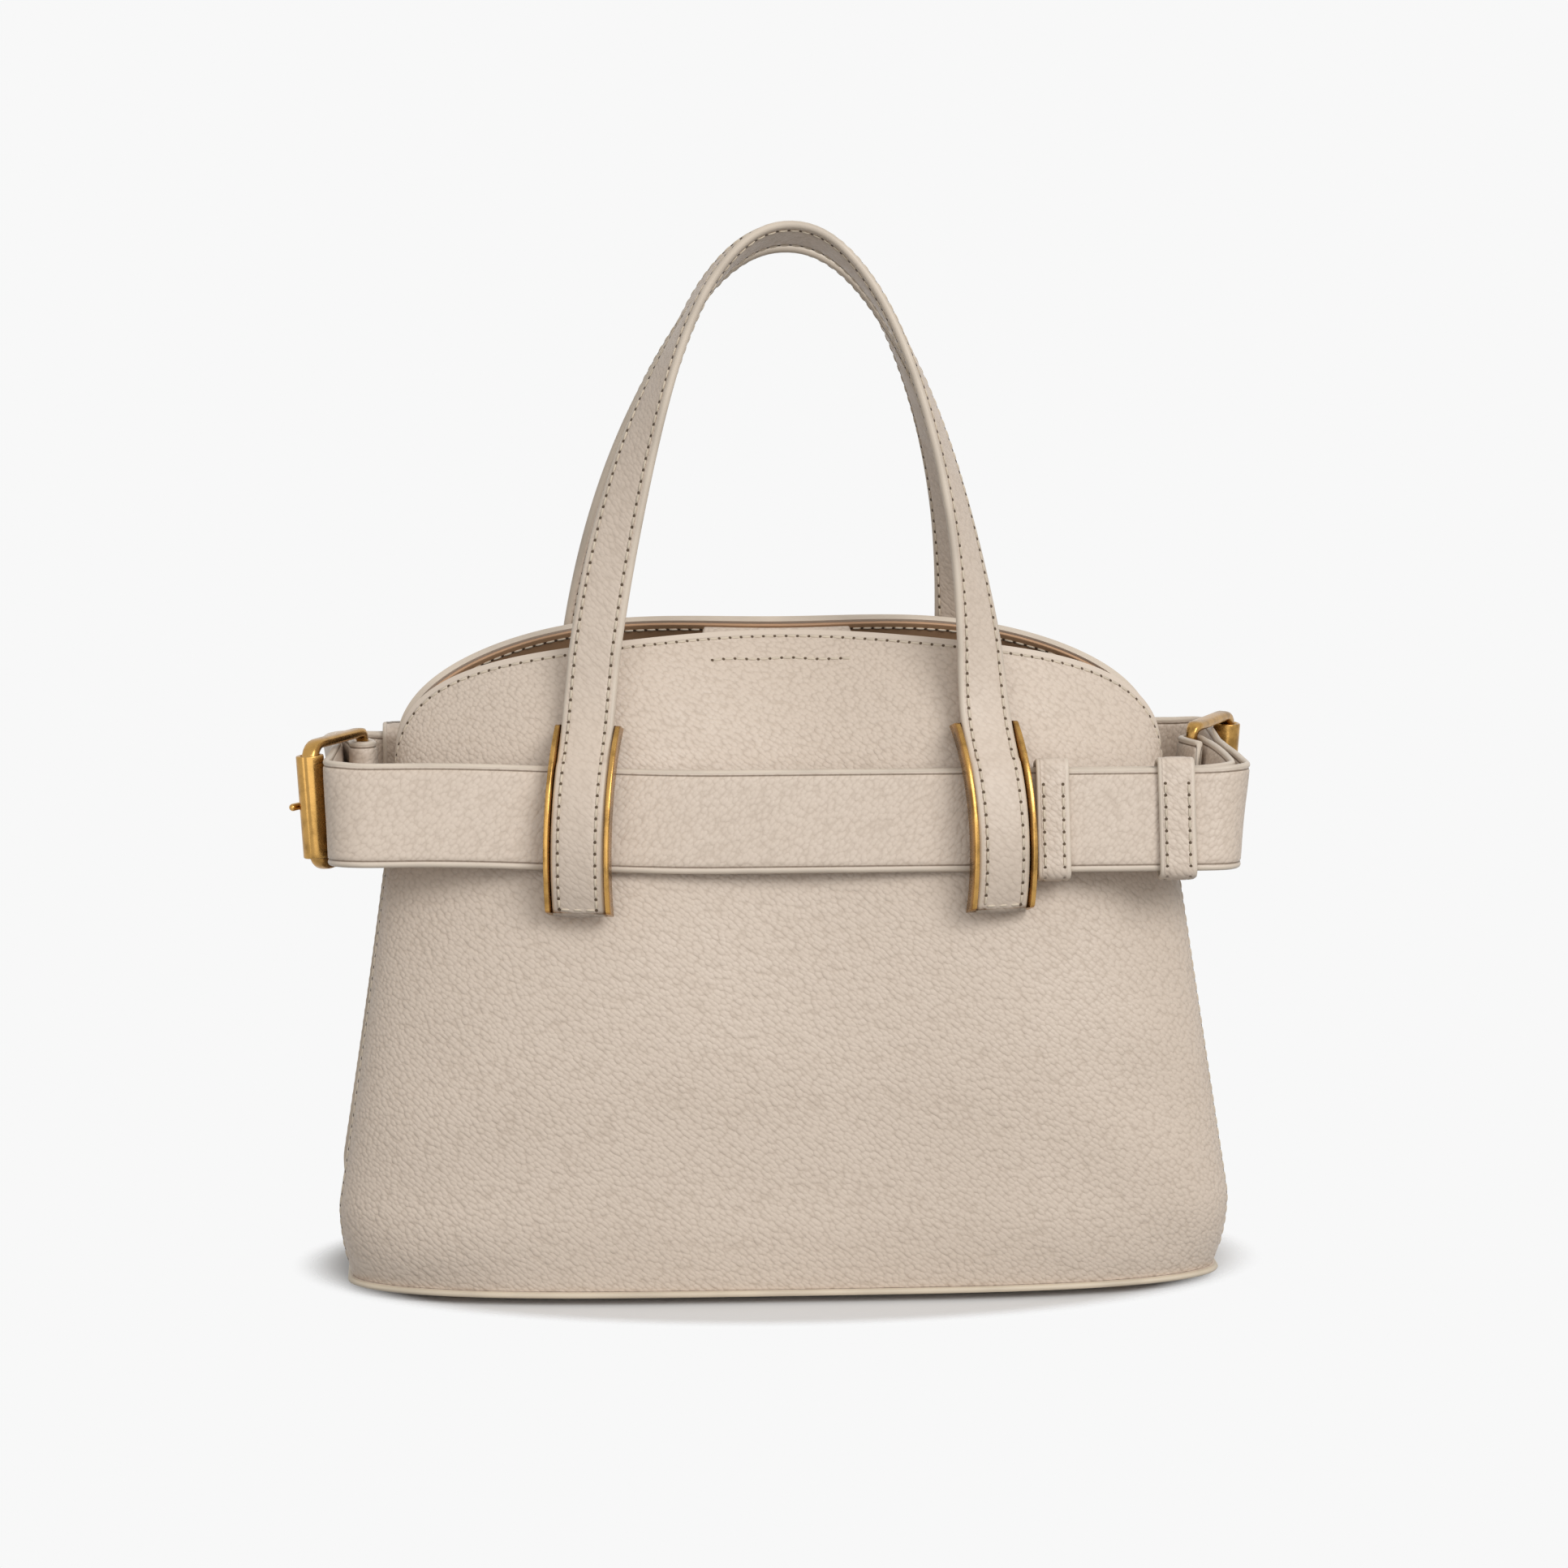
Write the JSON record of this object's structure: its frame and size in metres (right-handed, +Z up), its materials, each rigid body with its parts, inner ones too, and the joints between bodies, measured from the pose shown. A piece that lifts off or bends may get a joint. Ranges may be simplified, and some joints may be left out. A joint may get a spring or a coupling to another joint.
{
  "type": "top handle bag",
  "caption": "Structured leather top handle bag with a domed mouth, twin strap handles in brass channels and a belt closed by side roller buckles.",
  "frame": {"origin": "on the floor, under the middle of the bag", "axes": "+Z up, front of the bag towards -Y, the bag's width along X"},
  "size_m": [0.3174, 0.1362, 0.3431],
  "materials": {
    "grained_leather": "matt pebbled grain",
    "smooth_leather": "smooth",
    "lining_cloth": "matt weave",
    "board": "raw fibre board",
    "steel": "plain",
    "antique_brass": "polished, aged"
  },
  "bodies": {
    "bag": {"front_panel": "grained_leather", "back_panel": "grained_leather", "left_gusset": "grained_leather", "right_gusset": "grained_leather", "base_panel": "grained_leather", "front_magnet_tab": "grained_leather", "back_magnet_tab": "grained_leather", "front_left_strap_end": "grained_leather", "front_right_strap_end": "grained_leather", "back_left_strap_end": "grained_leather", "back_right_strap_end": "grained_leather", "front_belt": "grained_leather", "back_belt": "grained_leather", "front_fixed_keeper": "grained_leather", "back_fixed_keeper": "grained_leather", "front_facing": "smooth_leather", "back_facing": "smooth_leather", "lining": "lining_cloth", "base_board": "board", "front_magnet": "steel", "back_magnet": "steel", "front_tray_screws": "steel", "back_tray_screws": "steel", "base_feet": "antique_brass", "front_left_tray": "antique_brass", "front_right_tray": "antique_brass", "back_left_tray": "antique_brass", "back_right_tray": "antique_brass", "left_buckle_frame": "antique_brass", "right_buckle_frame": "antique_brass"},
    "front_handle": {"front_handle": "grained_leather"},
    "back_handle": {"back_handle": "grained_leather"},
    "left_prong": {"left_prong": "antique_brass"},
    "right_prong": {"right_prong": "antique_brass"},
    "left_roller": {"left_roller": "antique_brass"},
    "right_roller": {"right_roller": "antique_brass"},
    "front_sliding_keeper": {"front_sliding_keeper": "grained_leather"},
    "back_sliding_keeper": {"back_sliding_keeper": "grained_leather"}
  },
  "joints": [
    {"name": "front_handle_fold", "type": "hinge", "parent": "bag", "child": "front_handle", "pos_m": [0, -0.04143, 0.18875], "axis": [1, 0, 0], "range_deg": [0, 100]},
    {"name": "back_handle_fold", "type": "hinge", "parent": "bag", "child": "back_handle", "pos_m": [0, 0.04143, 0.18875], "axis": [-1, 0, 0], "range_deg": [0, 100]},
    {"name": "left_prong_lift", "type": "hinge", "parent": "bag", "child": "left_prong", "pos_m": [-0.1344, 0.00299, 0.1573], "axis": [0.0653, -0.0332, -0.9973], "range_deg": [0, 25]},
    {"name": "right_prong_lift", "type": "hinge", "parent": "bag", "child": "right_prong", "pos_m": [0.1344, -0.00299, 0.1573], "axis": [-0.0653, 0.0332, -0.9973], "range_deg": [0, 25]},
    {"name": "left_roller_spin", "type": "hinge", "parent": "bag", "child": "left_roller", "pos_m": [-0.15074, -0.02909, 0.1573], "axis": [-0.0653, 0.0332, 0.9973], "continuous": true},
    {"name": "right_roller_spin", "type": "hinge", "parent": "bag", "child": "right_roller", "pos_m": [0.15074, 0.02909, 0.1573], "axis": [0.0653, -0.0332, 0.9973], "continuous": true},
    {"name": "front_keeper_slide", "type": "slide", "parent": "bag", "child": "front_sliding_keeper", "axis": [-1, 0, 0], "range_m": [0, 0.022]},
    {"name": "back_keeper_slide", "type": "slide", "parent": "bag", "child": "back_sliding_keeper", "axis": [1, 0, 0], "range_m": [0, 0.022]}
  ]
}
